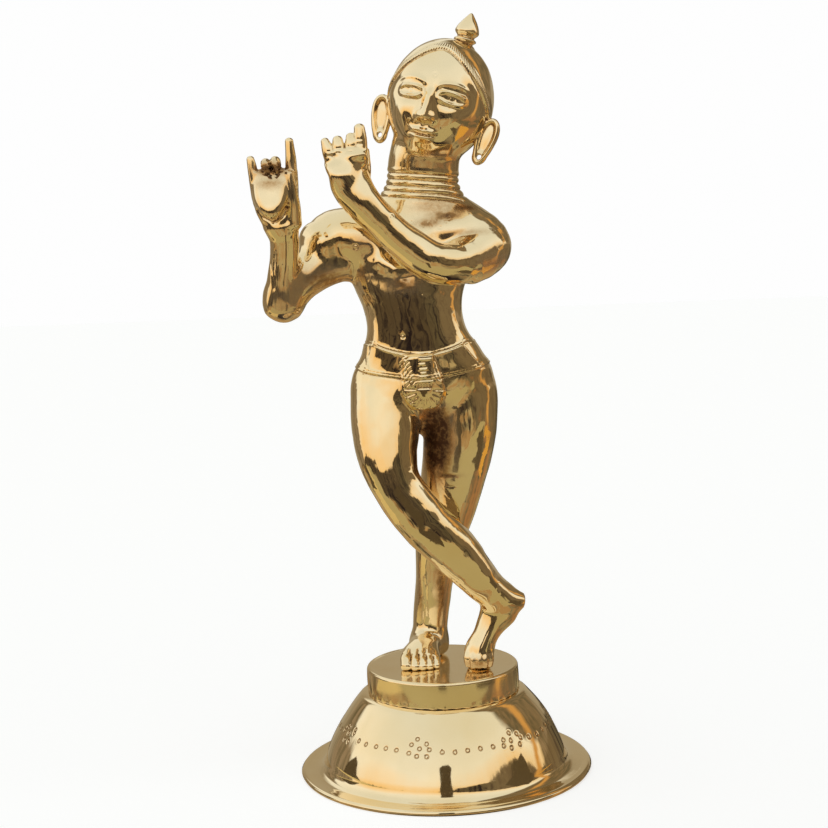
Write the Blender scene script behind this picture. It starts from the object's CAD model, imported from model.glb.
"""A hand-cast brass figure on its round plinth and domed foot.

Blender works in metres. The casting is carved in millimetres on a grid, from stations in hundredths of the
figure's height: x to the viewer's right, y away from the viewer, z up from the soles.
"""
import math

import bpy
import numpy as np
import openvdb
from mathutils import Matrix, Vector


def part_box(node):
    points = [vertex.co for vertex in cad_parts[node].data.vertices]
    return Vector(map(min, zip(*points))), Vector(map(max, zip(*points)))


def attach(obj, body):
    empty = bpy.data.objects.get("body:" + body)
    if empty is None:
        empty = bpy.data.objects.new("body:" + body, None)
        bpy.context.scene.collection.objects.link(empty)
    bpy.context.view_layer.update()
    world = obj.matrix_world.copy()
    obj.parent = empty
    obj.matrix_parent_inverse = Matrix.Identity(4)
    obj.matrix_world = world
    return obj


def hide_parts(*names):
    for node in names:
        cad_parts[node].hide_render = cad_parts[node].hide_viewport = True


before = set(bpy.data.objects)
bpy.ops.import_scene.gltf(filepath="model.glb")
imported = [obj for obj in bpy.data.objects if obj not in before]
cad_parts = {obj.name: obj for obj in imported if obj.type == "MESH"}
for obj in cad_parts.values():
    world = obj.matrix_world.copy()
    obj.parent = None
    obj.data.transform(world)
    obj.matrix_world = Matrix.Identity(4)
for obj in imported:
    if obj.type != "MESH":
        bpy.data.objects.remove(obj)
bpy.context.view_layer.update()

MM = 0.001
figure_low, figure_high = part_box("figure")
drum_low, drum_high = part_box("plinth_drum")
dome_low, dome_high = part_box("dome_base")

# The figure's whole height in the stations' units, from under the toes to the tip of the topknot
FIGURE_SHARES = 100.47
SHARE = (figure_high[2] - figure_low[2]) / MM / FIGURE_SHARES
AXIS_X = (drum_low[0] + drum_high[0]) / 2
SOLE_Z = figure_low[2]

# The carving grid, in millimetres: its pitch, how far off the walls distances are kept, and where the soles
# are cut flat
PITCH = 0.4
REACH = 6.0
SOLE_CUT = -0.3
FIGURE_TRIANGLES = 190000

SIDEWAYS = (1.0, 0.0, 0.0)
FORWARD = (0.0, 1.0, 0.0)
UPWARD = (0.0, 0.0, 1.0)

# The portrait camera stands straight in front, a little above the waist, and looks slightly down.
CAMERA_BACK = 0.7594
CAMERA_HEIGHT = 0.2582
CAMERA_YAW = math.radians(-0.745)
CAMERA_DOWN = math.radians(5.6)
CAMERA_ROLL = math.radians(-2.17)
CAMERA_LENS = 65.22


def set_camera():
    """Turns the camera to its yaw, then down, then rolls it about its own line of sight."""
    data = bpy.data.cameras.new("portrait")
    data.lens = CAMERA_LENS
    data.sensor_width = 36
    data.clip_start = 0.01
    data.clip_end = 50
    camera = bpy.data.objects.new("portrait", data)
    bpy.context.scene.collection.objects.link(camera)
    ahead = np.array([math.sin(CAMERA_YAW), math.cos(CAMERA_YAW), 0])
    right = np.array([math.cos(CAMERA_YAW), -math.sin(CAMERA_YAW), 0])
    up = np.array([0, 0, 1.0])
    sight = ahead * math.cos(CAMERA_DOWN) - up * math.sin(CAMERA_DOWN)
    top = up * math.cos(CAMERA_DOWN) + ahead * math.sin(CAMERA_DOWN)
    side = right * math.cos(CAMERA_ROLL) + top * math.sin(CAMERA_ROLL)
    top = top * math.cos(CAMERA_ROLL) - right * math.sin(CAMERA_ROLL)
    turn = Matrix((side, top, -sight)).transposed()
    place = (AXIS_X, -CAMERA_BACK, CAMERA_HEIGHT)
    camera.matrix_world = Matrix.Translation(place) @ turn.to_4x4()
    bpy.context.scene.camera = camera


# Stations of the body and limbs: [x, y, z, half width, half depth]
TORSO = [
    [-1.9, 2.0, 37.4, 2.6, 3.4],
    [-1.3, 1.9, 39.8, 4.6, 6.0],
    [-1.3, 1.4, 42.5, 7.8, 7.2],
    [-1.4, 0.7, 46.0, 10.4, 6.8],
    [-1.5, 0.2, 49.3, 9.2, 6.6],
    [-2.1, -0.3, 52.9, 7.7, 6.35],
    [-2.6, -0.1, 56.3, 7.6, 6.65],
    [-2.9, 0.2, 59.4, 8.5, 6.95],
    [-2.6, 0.6, 62.9, 9.8, 7.1],
    [-2.3, 0.6, 66.5, 10.5, 6.8],
    [-1.9, 0.9, 69.5, 10.2, 6.0],
    [-1.2, 1.2, 71.8, 7.7, 5.1],
    [-0.7, 1.2, 73.5, 6.0, 4.8],
]
# Balls that fill the seat: [centre, half sizes]
SEAT = [
    [[-5.3, 4.2, 43.6], [4.6, 4.4, 4.6]],
    [[2.6, 4.4, 43.2], [4.8, 4.6, 4.8]],
]
NECK = [
    [-0.9, 1.2, 71.3, 6.5, 5.2],
    [-0.7, 0.9, 73.6, 5.8, 4.9],
    [-0.3, 0.6, 76.2, 5.5, 4.9],
    [0.0, 0.3, 78.9, 5.5, 5.2],
    [0.7, 0.3, 81.9, 5.5, 5.5],
]
STANDING_LEG = [
    [4.1, 1.2, 46.0, 4.8, 5.8],
    [4.6, 1.5, 43.1, 5.5, 6.1],
    [4.4, 1.5, 40.0, 5.7, 6.1],
    [4.1, 1.5, 36.9, 5.7, 5.8],
    [3.5, 1.7, 32.9, 5.4, 5.4],
    [2.6, 2.1, 28.9, 5.0, 4.9],
    [1.7, 2.8, 24.8, 4.6, 4.4],
    [0.7, 3.4, 21.0, 4.1, 4.0],
    [-0.1, 4.3, 17.0, 3.6, 3.7],
    [-0.8, 5.2, 12.3, 3.0, 3.3],
    [-1.4, 5.8, 8.1, 2.9, 3.1],
    [-1.8, 6.1, 4.2, 2.8, 2.9],
    [-2.1, 6.4, 1.3, 3.0, 2.9],
]
STANDING_FOOT = [
    [-1.9, 8.2, 1.6, 2.2, 1.7],
    [-2.0, 6.0, 1.9, 2.6, 2.0],
    [-2.6, 3.0, 1.9, 2.4, 2.0],
    [-3.1, 0.8, 1.8, 2.7, 1.9],
    [-3.5, -1.0, 1.5, 3.0, 1.6],
    [-3.6, -2.2, 1.2, 2.8, 1.25],
]
CROSSING_LEG = [
    [-6.2, 0.8, 46.4, 4.7, 5.0],
    [-7.0, 0.2, 43.7, 5.7, 5.8],
    [-7.6, -0.7, 40.6, 5.2, 5.8],
    [-7.5, -1.8, 37.3, 5.2, 5.5],
    [-7.3, -3.1, 33.4, 4.6, 5.0],
    [-6.0, -4.1, 29.1, 3.9, 4.4],
    [-2.7, -4.5, 24.2, 3.9, 4.1],
    [0.0, -4.4, 21.3, 3.8, 3.9],
    [2.7, -4.1, 18.4, 3.7, 3.6],
    [4.7, -3.8, 15.9, 3.3, 3.3],
    [6.5, -3.4, 13.6, 2.9, 3.0],
    [8.3, -2.9, 11.6, 2.4, 2.5],
    [9.7, -2.6, 10.1, 1.7, 2.0],
]
CROSSING_HEEL = [
    [8.3, -2.8, 11.4, 2.5, 2.6],
    [10.6, -2.3, 10.4, 2.2, 2.2],
    [12.8, -2.0, 10.0, 1.2, 1.4],
]
CROSSING_FOOT = [
    [10.2, -2.6, 10.3, 2.7, 2.0],
    [9.0, -2.6, 8.5, 2.9, 2.1],
    [7.8, -2.7, 6.6, 2.3, 2.1],
    [6.8, -2.9, 4.7, 2.0, 2.2],
    [6.0, -3.1, 2.9, 2.3, 2.4],
    [5.7, -3.2, 1.6, 2.3, 2.3],
    [5.7, -3.2, 0.8, 2.0, 2.0],
]
UPPER_ARM_LEFT = [
    [-7.5, 1.2, 67.6, 4.4, 5.2],
    [-11.0, 0.6, 67.6, 4.5, 5.2],
    [-14.2, -0.6, 67.3, 4.4, 5.0],
    [-16.4, -1.7, 66.6, 3.6, 4.2],
]
LOWER_ARM_LEFT = [
    [-12.6, -0.4, 66.4, 4.0, 3.8],
    [-16.4, -2.2, 63.9, 3.6, 3.2],
    [-19.6, -3.7, 60.7, 2.9, 2.9],
    [-22.1, -4.6, 57.9, 2.9, 2.9],
]
ARM_WEB = [
    [-21.2, -4.7, 61.3, 2.5, 1.7],
    [-18.6, -3.8, 61.7, 2.4, 1.8],
    [-16.0, -3.0, 62.3, 2.3, 2.0],
    [-13.0, -2.0, 63.0, 2.2, 2.4],
]
ELBOW_LEFT = [[-22.2, -4.6, 57.7], [2.8, 2.7, 2.9]]
FOREARM_LEFT = [
    [-22.3, -4.6, 57.2, 2.4, 2.5],
    [-22.4, -4.9, 58.8, 2.5, 2.6],
    [-22.0, -5.8, 61.4, 2.3, 2.5],
    [-21.5, -6.7, 64.4, 2.2, 2.3],
    [-21.3, -7.7, 67.4, 2.2, 2.2],
    [-21.6, -8.3, 69.4, 2.5, 2.1],
]
HAND_LEFT = [
    [-21.4, -8.0, 68.5, 2.1, 2.0],
    [-21.8, -8.6, 70.6, 2.9, 2.0],
    [-22.1, -9.2, 72.9, 3.4, 1.9],
    [-22.2, -9.5, 75.3, 3.6, 1.8],
    [-22.2, -9.8, 77.2, 3.5, 1.5],
]
PALM_PAD = [
    [-22.5, -9.6, 77.2, 2.3, 1.3],
    [-22.55, -9.8, 75.6, 2.85, 1.8],
    [-22.6, -10.0, 73.6, 2.8, 2.1],
    [-22.6, -10.2, 71.9, 2.3, 2.3],
    [-22.5, -10.3, 70.9, 1.5, 2.2],
    [-22.4, -10.3, 70.2, 0.7, 1.7],
]
UPPER_ARM_RIGHT = [
    [3.5, 1.0, 68.2, 3.6, 4.4],
    [5.5, 0.9, 67.1, 3.8, 4.6],
    [7.9, -0.3, 65.7, 4.7, 4.8],
    [8.5, -2.8, 64.9, 4.3, 4.0],
    [5.7, -5.5, 63.1, 3.6, 3.4],
]
CHEST_FILL = [
    [[5.4, -2.0, 67.2], [5.2, 4.1, 3.7]],
    [[-9.3, -1.1, 67.2], [4.6, 4.5, 4.2]],
]
SHOULDER_RIGHT = [
    [1.0, 1.1, 70.6, 2.2, 3.6],
    [4.6, 0.9, 70.2, 2.7, 4.2],
    [7.2, 0.4, 69.0, 2.5, 4.2],
    [9.0, -0.4, 67.4, 2.4, 4.0],
]
FOREARM_RIGHT = [
    [7.6, -3.7, 63.9, 3.3, 3.4],
    [4.8, -6.4, 62.9, 3.3, 3.4],
    [1.1, -8.3, 63.2, 3.1, 3.2],
    [-2.6, -9.2, 65.6, 2.8, 2.9],
    [-5.9, -9.8, 68.6, 2.6, 2.7],
    [-9.0, -10.4, 71.9, 2.7, 2.85],
    [-10.7, -10.7, 74.6, 3.05, 2.5],
    [-11.3, -11.0, 77.3, 3.25, 1.95],
    [-11.5, -11.0, 79.7, 3.25, 1.4],
]

# Fingers and toes: bends from root to tip, each [x, y, z, radius]
FINGERS_LEFT = [
    [[-24.6, -9.4, 73.8, 1.0], [-25.1, -9.8, 76.6, 0.85], [-25.5, -10.1, 79.2, 0.55]],
    [[-23.1, -9.6, 75.4, 0.95], [-23.2, -10.2, 78.2, 0.8], [-23.2, -11.3, 78.1, 0.75],
     [-23.0, -11.9, 77.2, 0.6]],
    [[-21.7, -9.6, 75.4, 0.95], [-21.8, -10.2, 78.5, 0.8], [-21.8, -11.3, 78.3, 0.75],
     [-21.7, -11.9, 77.3, 0.6]],
    [[-19.9, -9.4, 73.8, 1.0], [-19.6, -9.8, 78.0, 0.85], [-19.7, -10.1, 81.6, 0.6]],
    [[-19.6, -9.4, 69.6, 1.2], [-19.4, -10.4, 73.0, 0.9], [-19.8, -10.9, 76.8, 0.6]],
]
FINGERS_RIGHT = [
    [[-13.2, -11.0, 77.3, 1.1], [-13.9, -11.1, 79.7, 0.95], [-14.4, -11.1, 81.3, 0.62]],
    [[-12.2, -11.1, 78.0, 0.98], [-12.4, -11.2, 80.2, 0.95], [-12.5, -11.0, 81.4, 0.78]],
    [[-10.7, -11.1, 78.4, 0.98], [-10.6, -11.2, 80.6, 0.95], [-10.6, -11.0, 81.8, 0.75]],
    [[-9.3, -11.0, 78.0, 1.05], [-9.2, -11.1, 80.8, 0.98], [-9.3, -11.1, 83.0, 0.8]],
    [[-9.4, -9.4, 74.2, 1.2], [-8.8, -9.0, 77.2, 0.95], [-8.7, -8.8, 79.8, 0.7]],
]
STANDING_TOES = [
    [[-5.3, -0.4, 1.9, 1.0], [-5.6, -2.4, 1.5, 1.0], [-5.7, -3.5, 0.5, 0.95]],
    [[-4.1, -0.6, 2.0, 0.8], [-4.25, -2.9, 1.5, 0.78], [-4.3, -4.0, 0.45, 0.74]],
    [[-3.0, -0.6, 2.0, 0.76], [-3.1, -2.9, 1.4, 0.72], [-3.1, -3.9, 0.4, 0.7]],
    [[-2.0, -0.5, 1.9, 0.72], [-2.0, -2.6, 1.3, 0.68], [-2.0, -3.6, 0.35, 0.66]],
    [[-1.1, -0.3, 1.7, 0.68], [-0.95, -2.1, 1.2, 0.64], [-0.95, -3.1, 0.3, 0.62]],
]
CROSSING_TOES = [
    [[4.4, -3.8, 3.0, 0.6], [3.9, -4.5, 1.9, 0.6], [4.0, -4.5, 0.7, 0.5]],
    [[5.1, -4.0, 3.0, 0.6], [4.8, -5.1, 1.8, 0.6], [4.8, -5.1, 0.6, 0.5]],
    [[5.8, -4.1, 3.0, 0.6], [5.7, -5.3, 1.8, 0.6], [5.7, -5.3, 0.6, 0.5]],
    [[6.5, -4.0, 3.0, 0.65], [6.6, -5.1, 1.8, 0.62], [6.5, -5.1, 0.6, 0.55]],
    [[7.1, -3.6, 3.0, 0.8], [7.3, -4.5, 1.8, 0.75], [7.2, -4.5, 0.6, 0.65]],
]
APRON = [
    [-1.9, -6.5, 48.9, 2.0, 0.7],
    [-1.6, -6.45, 47.0, 2.5, 0.7],
    [-1.4, -6.35, 44.8, 3.0, 0.7],
    [-1.4, -6.1, 42.8, 2.9, 0.7],
    [-1.3, -5.6, 41.2, 2.1, 0.7],
]

# Head: an egg with a tapered jaw, turned and tilted about its middle
HEAD_CENTRE = np.array([2.75, 0, 87.2])
HEAD_TILT = math.radians(15.5)
HEAD_TURN = math.radians(11)
HEAD_HALF = (7.9, 8.6, 9.6)
JAW_TAPER = 0.15
CHIN_FORWARD = 0.9
NAPE_TUCK = 0.3
EYE_OUT = 3.2
EYE_UP = 0.1
NOSE_TOP = 1.4
NOSE_BASE = -3.9
MOUTH_UP = -5.8
CHIN_UP = -8.3
HAIR_PEAK = 7.3
HAIR_FALL = 2.2
HAIR_NAPE = -4.2
HAIR_BAND = 1.1
STROKE_WIDTH = 0.37
KNOT_SEAT = (1.6, -0.2, 8.6)
KNOT_PROFILE = [
    [0.0, -0.8],
    [1.9, -0.8],
    [1.75, 0.4],
    [1.3, 0.85],
    [1.35, 1.0],
    [1.75, 1.35],
    [1.7, 1.55],
    [1.3, 1.8],
    [1.35, 2.0],
    [1.82, 2.5],
    [1.84, 2.9],
    [1.6, 3.55],
    [1.15, 4.3],
    [0.55, 5.1],
    [0.22, 5.5],
    [0.0, 5.6],
]
EAR_HALF = (1.6, 3.75)
EAR_PLACE = (8.3, -0.6, -4.2)
EAR_LEAN = 0.16
LOBE_SHARE = 0.66
LOBE_HOLE = 1.3


def hill(distance, reach):
    """A bell curve: 1 at no distance, 0.37 at its reach."""
    return np.exp(-((distance / reach) ** 2))


def ramp(value):
    """Rises smoothly from 0 to 1 as the value does."""
    t = np.clip(value, 0, 1)
    return t * t * (3 - 2 * t)


def lengths(path):
    """The length along a path up to each of its points."""
    return np.concatenate([[0], np.cumsum(np.linalg.norm(np.diff(path, axis=0), axis=1))])


def wrapped(angle):
    """The same angle, brought to within half a turn either way."""
    return (angle + np.pi) % (2 * np.pi) - np.pi


def flowing(stations, share, closed=False):
    """A Catmull-Rom curve through the stations: each span is the cubic whose ends slope as the chord between
    the neighbouring stations. share runs from 0 to 1 over the spans."""
    rows = np.asarray(stations, float)
    count = len(rows)
    spans = count if closed else count - 1
    at = np.clip(np.asarray(share, float) * spans, 0, spans - (1e-9 if closed else 0))
    first = np.minimum(at.astype(int), spans - 1)
    t = (at - first)[:, None]
    if closed:
        before, start, end, after = (rows[(first + step) % count] for step in (-1, 0, 1, 2))
    else:
        padded = np.vstack([2 * rows[0] - rows[1], rows, 2 * rows[-1] - rows[-2]])
        before, start, end, after = (padded[first + step] for step in range(4))
    return 0.5 * (
        2 * start
        + (end - before) * t
        + (2 * before - 5 * start + 4 * end - after) * t**2
        + (3 * start - before - 3 * end + after) * t**3
    )


def wound(rows, sides, closed_rows=False, poles=()):
    """Faces of a tube whose rings are the rows: a quad between each two neighbours, and a fan of triangles
    round each pole, which are the two points after the rings."""
    index = np.arange(rows * sides).reshape(rows, sides)
    upper = np.roll(index, -1, axis=0) if closed_rows else index[1:]
    lower = index if closed_rows else index[:-1]
    quads = np.stack([lower, np.roll(lower, -1, 1), np.roll(upper, -1, 1), upper], -1).reshape(-1, 4)
    if not poles:
        return quads, np.zeros((0, 3), int)
    start, end = poles
    foot = np.stack([np.full(sides, start), np.roll(index[0], -1), index[0]], -1)
    top = np.stack([np.full(sides, end), index[-1], np.roll(index[-1], -1)], -1)
    return quads, np.concatenate([foot, top])


def limb(
    stations, across=SIDEWAYS, level=False, closed=False, rounding=0.35, sides=48, steps=10, square=(2, 2)
):
    """A wall carried along a path: at each step an ellipse lies square to the path, or level, with its half
    width along "across". Its powers, from the first end to the last, are a superellipse's: above 2 they
    swell the corners. Past each open end the ellipses shrink as a quarter circle does, to a pole."""
    count = len(stations) - (0 if closed else 1)
    share = np.linspace(0, 1, steps * count + 1)
    if closed:
        share = share[:-1]
    row = flowing(stations, share, closed)
    centre, girth = row[:, :3], row[:, 3:5]
    if closed:
        along = np.roll(centre, -1, 0) - np.roll(centre, 1, 0)
    else:
        along = np.gradient(centre, axis=0)
    along /= np.linalg.norm(along, axis=1, keepdims=True)
    if not closed:
        bend = np.radians(np.linspace(0, 80, 7))[1:]
        swell, ease = np.sin(bend)[:, None] * rounding, np.cos(bend)[:, None]
        head = centre[0] - along[0] * girth[0].min() * swell
        tail = centre[-1] + along[-1] * girth[-1].min() * swell
        poles = [
            centre[0] - along[0] * girth[0].min() * rounding,
            centre[-1] + along[-1] * girth[-1].min() * rounding,
        ]
        centre = np.vstack([head[::-1], centre, tail])
        girth = np.vstack([(girth[0] * ease)[::-1], girth, girth[-1] * ease])
        along = np.vstack([np.repeat(along[:1], 6, 0), along, np.repeat(along[-1:], 6, 0)])
    if level:
        along = np.tile(np.array(UPWARD), (len(centre), 1))
    reference = np.array(across, float)
    wide = reference - along * (along @ reference)[:, None]
    wide /= np.linalg.norm(wide, axis=1, keepdims=True)
    deep = np.cross(along, wide)
    angle = np.linspace(0, 2 * np.pi, sides, endpoint=False)[None, :]
    square = np.linspace(*square, len(centre))[:, None]
    swell = (np.abs(np.cos(angle)) ** square + np.abs(np.sin(angle)) ** square) ** (-1 / square)
    points = (
        centre[:, None]
        + wide[:, None] * (swell * np.cos(angle) * girth[:, :1])[..., None]
        + deep[:, None] * (swell * np.sin(angle) * girth[:, 1:2])[..., None]
    ).reshape(-1, 3)
    rows = len(centre)
    if closed:
        return (points, *wound(rows, sides, closed_rows=True))
    points = np.vstack([points, poles])
    return (points, *wound(rows, sides, poles=(rows * sides, rows * sides + 1)))


def digit(bends):
    """A finger or toe: a round limb with a full round tip."""
    stations = [[x, y, z, radius, radius] for x, y, z, radius in bends]
    return limb(stations, rounding=0.8, sides=28, steps=12)


def ball(centre, half, sides=48, rows=32):
    """An ellipsoid: rings at even angles from pole to pole."""
    polar = np.linspace(0, np.pi, rows + 2)[1:-1][:, None]
    around = np.linspace(0, 2 * np.pi, sides, endpoint=False)[None, :]
    unit = np.stack(
        [np.sin(polar) * np.cos(around), np.sin(polar) * -np.sin(around), np.cos(polar) + 0 * around], -1
    ).reshape(-1, 3)
    unit = np.vstack([unit, [0, 0, 1], [0, 0, -1]])
    points = unit * half + centre
    return (points, *wound(rows, sides, poles=(rows * sides, rows * sides + 1)))


def lathe(profile, sides=64):
    """A profile of [radius, height] swept round the upright axis, with its first and last points on the
    axis."""
    rows = np.asarray(profile, float)
    angle = np.linspace(0, 2 * np.pi, sides, endpoint=False)[None, :]
    ring = rows[1:-1]
    points = np.stack(
        [ring[:, :1] * np.cos(angle), ring[:, :1] * np.sin(angle), ring[:, 1:] + 0 * angle], -1
    ).reshape(-1, 3)
    points = np.vstack([points, [0, 0, rows[0, 1]], [0, 0, rows[-1, 1]]])
    count = len(ring)
    return (points, *wound(count, sides, poles=(count * sides, count * sides + 1)))


def measure(wall):
    """The signed distance to a closed wall in millimetres on the carving grid: negative inside, positive
    outside, and held at REACH further off. The block is (lowest grid corner, values)."""
    points, quads, tris = wall
    grid = openvdb.FloatGrid.createLevelSetFromPolygons(
        (points * SHARE).astype(np.float32),
        triangles=tris.astype(np.uint32),
        quads=quads.astype(np.uint32),
        transform=openvdb.createLinearTransform(voxelSize=PITCH),
        halfWidth=REACH / PITCH,
    )
    low, high = (np.array(corner) for corner in grid.evalActiveVoxelBoundingBox())
    values = np.empty(high - low + 1, np.float32)
    grid.copyToArray(values, ijk=tuple(int(n) for n in low))
    return low, values


def window(whole, corner, shape):
    """The part of a block's values that a smaller block covers."""
    i, j, k = corner
    return whole[i : i + shape[0], j : j + shape[1], k : k + shape[2]]


def weld(parts):
    """Joins blocks into one. Where two surfaces a and b come closer than a fillet k, the smaller distance
    loses k/4 times the square of (k - |a - b|)/k, which fills the corner with an even fillet. Each part is
    (block, k in millimetres, or k as a function of the height in shares)."""
    low = np.min([block[0] for block, _ in parts], axis=0)
    high = np.max([block[0] + block[1].shape for block, _ in parts], axis=0)
    whole = np.full(high - low, REACH, np.float32)
    for (corner, values), fillet in parts:
        if callable(fillet):
            fillet = fillet((corner[2] + np.arange(values.shape[2])) * PITCH / SHARE)
        fillet = np.maximum(fillet, 0.05).astype(np.float32) if np.ndim(fillet) else max(fillet, 0.05)
        here = window(whole, corner - low, values.shape)
        near = np.maximum(fillet - np.abs(here - values), 0)
        here[...] = np.minimum(here, values) - near * near / (4 * fillet)
    return low, whole


def bore(block, hole):
    """Cuts one block out of another: outside the hole the larger of the distance and minus the hole's
    distance."""
    low, values = block
    corner, cut = hole
    start = np.maximum(corner - low, 0)
    stop = np.minimum(corner + cut.shape - low, values.shape)
    here = values[start[0] : stop[0], start[1] : stop[1], start[2] : stop[2]]
    first = start + low - corner
    last = first + (stop - start)
    piece = cut[first[0] : last[0], first[1] : last[1], first[2] : last[2]]
    np.maximum(here, -piece, out=here)


def places(block, band):
    """Where a block's surface passes: the grid points within a band of it, and their places in shares."""
    low, values = block
    found = np.nonzero(np.abs(values) < band)
    return found, (np.stack(found, 1) + low) * (PITCH / SHARE)


def skin(block):
    """The closed surface where a block's distance is zero, as points in millimetres, quads and triangles."""
    low, values = block
    grid = openvdb.FloatGrid()
    grid.background = REACH
    grid.transform = openvdb.createLinearTransform(voxelSize=PITCH)
    grid.copyFromArray(values, ijk=tuple(int(n) for n in low))
    points, tris, quads = grid.convertToPolygons(isovalue=0.0, adaptivity=0.0)
    return points, quads, tris


def uneven(where, length, seed, waves=14):
    """Smooth unevenness of about 1 either way: sine waves in random directions, of about one length."""
    draw = np.random.default_rng(seed)
    way = draw.normal(size=(waves, 3))
    way /= np.linalg.norm(way, axis=1, keepdims=True)
    way *= (2 * np.pi / (length * draw.uniform(0.7, 1.5, waves)))[:, None]
    phase = draw.uniform(0, 2 * np.pi, waves)
    total = np.zeros(len(where), np.float32)
    for step, shift in zip(way, phase):
        total += np.sin(where @ step + shift)
    return total / math.sqrt(waves)


def head_axes():
    """The head's own axes, as columns: turned about the upright, then tilted sideways."""
    turn = np.array(Matrix.Rotation(-HEAD_TURN, 3, "Z"))
    tilt = np.array(Matrix.Rotation(HEAD_TILT, 3, "Y"))
    return tilt @ turn


def head_pose(points):
    """Turns, tilts and places points of the head's own frame."""
    return points @ head_axes().T + HEAD_CENTRE


def head_frame(where):
    """The reverse of head_pose."""
    return (where - HEAD_CENTRE) @ head_axes()


def egg(unit):
    """The bare egg of the head along unit directions: an ellipsoid whose sides and nape draw in, and whose
    chin comes forward, with the square of the depth below the middle."""
    low = np.maximum(0, -unit[..., 2]) ** 2
    narrow = 1 - JAW_TAPER * low
    tuck = np.where(unit[..., 1] > 0, 1 - NAPE_TUCK * low, 1)
    return np.stack(
        [
            HEAD_HALF[0] * unit[..., 0] * narrow,
            HEAD_HALF[1] * unit[..., 1] * tuck - CHIN_FORWARD * low,
            HEAD_HALF[2] * unit[..., 2],
        ],
        -1,
    )


def eye_relief(out, up):
    """A socket with an almond ball in it, two raised lids along the almond's edges, a crease over the upper
    lid, and a brow ridge that arches from the nose to the temple."""
    across = out - EYE_OUT
    z = up - EYE_UP
    t = np.clip(across / 1.85, -1, 1)
    open_part = np.sqrt(np.maximum(0, 1 - t * t))
    upper = 0.86 * open_part**1.1 - 0.1 * t
    lower = -0.62 * open_part**1.2 - 0.1 * t
    inside = ramp((upper - z) / 0.12) * ramp((z - lower) / 0.12) * (np.abs(across) < 1.85)
    ball_part = 0.62 * np.sqrt(np.maximum(0, 1 - (across / 2.3) ** 2 - ((z - 0.1) / 1.5) ** 2))
    socket = -0.75 * hill(across, 2.3) * hill(z - 0.05, 1.35)
    width = ramp((1.95 - np.abs(across)) / 0.35)
    lids = 0.26 * (hill(z - upper - 0.14, 0.2) + 0.7 * hill(z - lower + 0.14, 0.2)) * width
    lid = 0.2 * hill(z - upper - 0.55, 0.4) * width
    brow_line = 2.15 - 0.11 * across * across + 0.02 * across
    reach = ramp((out - 0.6) / 0.9) * ramp((6.0 - out) / 1.8)
    brow = 0.3 * hill(z - brow_line, 0.34) * reach
    pupil = -0.1 * hill(np.hypot(across, z - 0.1) - 0.4, 0.14) * inside
    return socket + ball_part * ramp((1.2 - np.abs(z)) / 0.5) + lids + lid + brow + pupil - 0.08 * inside


def nose_relief(out, z):
    """A ridge that widens and rises evenly from between the brows to the tip, two wings, and a cut under
    them."""
    down = np.clip((NOSE_TOP - z) / (NOSE_TOP - NOSE_BASE), 0, 1.2)
    swell = ramp(down)
    along = ramp(down * 3.2) * ramp((z - NOSE_BASE + 0.35) / 0.95)
    bridge = (0.55 + 1.3 * swell**1.3) * hill(out, 0.62 + 0.42 * swell) * along
    wing = 0.5 * hill(out - 1.12, 0.6) * hill(z - NOSE_BASE - 0.7, 0.7)
    nostril = -0.22 * hill(out - 0.65, 0.28) * hill(z - NOSE_BASE + 0.05, 0.26)
    return bridge + wing + nostril


def mouth_relief(out, x, z):
    """Two full lips on a soft mound, parted by a groove that rises at the corners, with a bowed upper edge
    and a shallow gutter up to the nose."""
    mound = 0.6 * hill(x, 2.8) * hill(z - MOUTH_UP, 2.0)
    line = MOUTH_UP + 0.09 * out**2 * 0.45
    width = ramp((2.35 - out) / 1.0)
    upper = 0.4 * hill(z - line - 0.45 - 0.1 * hill(out - 0.5, 0.5), 0.38) * width
    lower = 0.48 * hill(z - line + 0.5, 0.46) * ramp((2.0 - out) / 1.2)
    parting = -0.36 * hill(z - line, 0.16) * width
    corner = -0.14 * hill(out - 2.3, 0.4) * hill(z - line, 0.4)
    gutter = -0.16 * hill(x, 0.32) * hill(z - (MOUTH_UP + NOSE_BASE) / 2 - 0.1, 0.7)
    return mound + upper + lower + parting + corner + gutter


def face_relief(x, z):
    """The whole relief of the face over the egg, at a place across and up the head."""
    out = np.abs(x)
    chin = 0.5 * hill(x, 2.4) * hill(z - CHIN_UP, 1.5)
    cheek = 0.45 * hill(out - 4.2, 2.0) * hill(z + 3.0, 2.1)
    fold = hill(out - 2.15 - 0.28 * (NOSE_BASE - z), 0.3)
    fold *= ramp((NOSE_BASE + 0.6 - z) / 1.2) * ramp((z + 6.2) / 1.5)
    return eye_relief(out, z) + nose_relief(out, z) + mouth_relief(out, x, z) + chin + cheek - 0.06 * fold


def hair_height(around):
    """Height of the hair's edge round the head, from the peak over the brow to the nape."""
    front = (1 + np.cos(around)) / 2
    return HAIR_NAPE + (HAIR_PEAK - HAIR_NAPE) * front**HAIR_FALL


def along_hair(around, up):
    """Places by the hair's edge: the length of the edge from the nape to there, and the height above it,
    square to the edge."""
    turn = np.linspace(-np.pi, np.pi, 721)
    height = hair_height(turn)
    level = np.sqrt(np.maximum(0, 1 - (np.minimum(height / HEAD_HALF[2], 0.999)) ** 2))
    edge = egg(np.stack([np.sin(turn) * level, -np.cos(turn) * level, height / HEAD_HALF[2]], -1))
    length = lengths(edge)
    slope = np.interp(around, turn, np.gradient(height, length))
    above = (up - np.interp(around, turn, height)) * np.sqrt(np.maximum(0.05, 1 - slope**2))
    return np.interp(around, turn, length), above


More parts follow.
